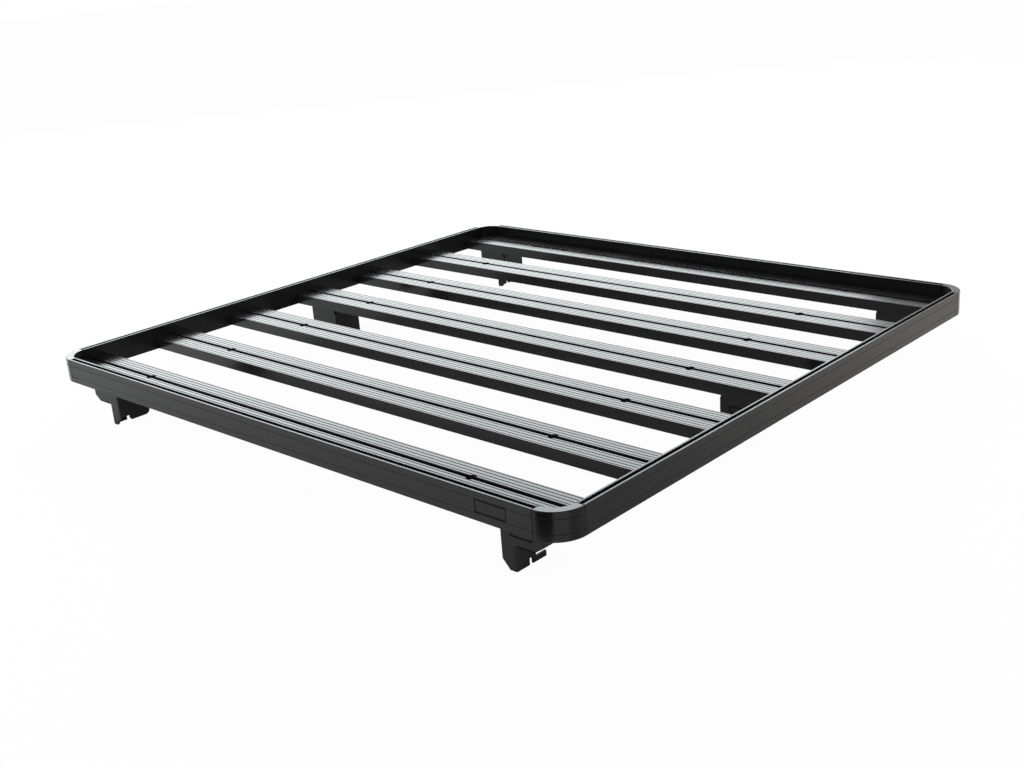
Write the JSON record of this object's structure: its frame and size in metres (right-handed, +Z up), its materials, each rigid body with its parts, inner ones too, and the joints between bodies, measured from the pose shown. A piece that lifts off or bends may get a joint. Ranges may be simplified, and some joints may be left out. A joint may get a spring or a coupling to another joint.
{
  "type": "truck bed rack",
  "caption": "Low flat slatted rack for a truck bed: slotted rails with rounded corners, slotted cross slats and short folded plate feet, all in satin black",
  "frame": {"origin": "On the floor below the centre of the tray, at the level of the six feet's lower edges", "axes": "+X to the right along the slats, +Y to the rear, +Z up, metres"},
  "size_m": [1.425, 1.358, 0.1415],
  "materials": {
    "rail_coat": "satin black powder coat",
    "slat_coat": "satin black powder coat",
    "corner_coat": "satin black powder coat over a casting",
    "foot_coat": "satin black powder coat over folded steel",
    "bolt_steel": "dark zinc plated",
    "badge_plate": "blank black label"
  },
  "bodies": {
    "root": {"front_rail": "rail_coat", "rear_rail": "rail_coat", "left_rail": "rail_coat", "right_rail": "rail_coat", "corner_front_left": "corner_coat", "corner_front_right": "corner_coat", "corner_rear_left": "corner_coat", "corner_rear_right": "corner_coat", "slat_1": "slat_coat", "slat_2": "slat_coat", "slat_3": "slat_coat", "slat_4": "slat_coat", "slat_5": "slat_coat", "slat_6": "slat_coat", "slat_7": "slat_coat", "foot_front_left": "foot_coat", "foot_middle_left": "foot_coat", "foot_rear_left": "foot_coat", "foot_front_right": "foot_coat", "foot_middle_right": "foot_coat", "foot_rear_right": "foot_coat", "foot_bolts_left": "bolt_steel", "foot_bolts_right": "bolt_steel", "foot_nuts_left": "bolt_steel", "foot_nuts_right": "bolt_steel", "blank_badge": "badge_plate"}
  },
  "joints": []
}
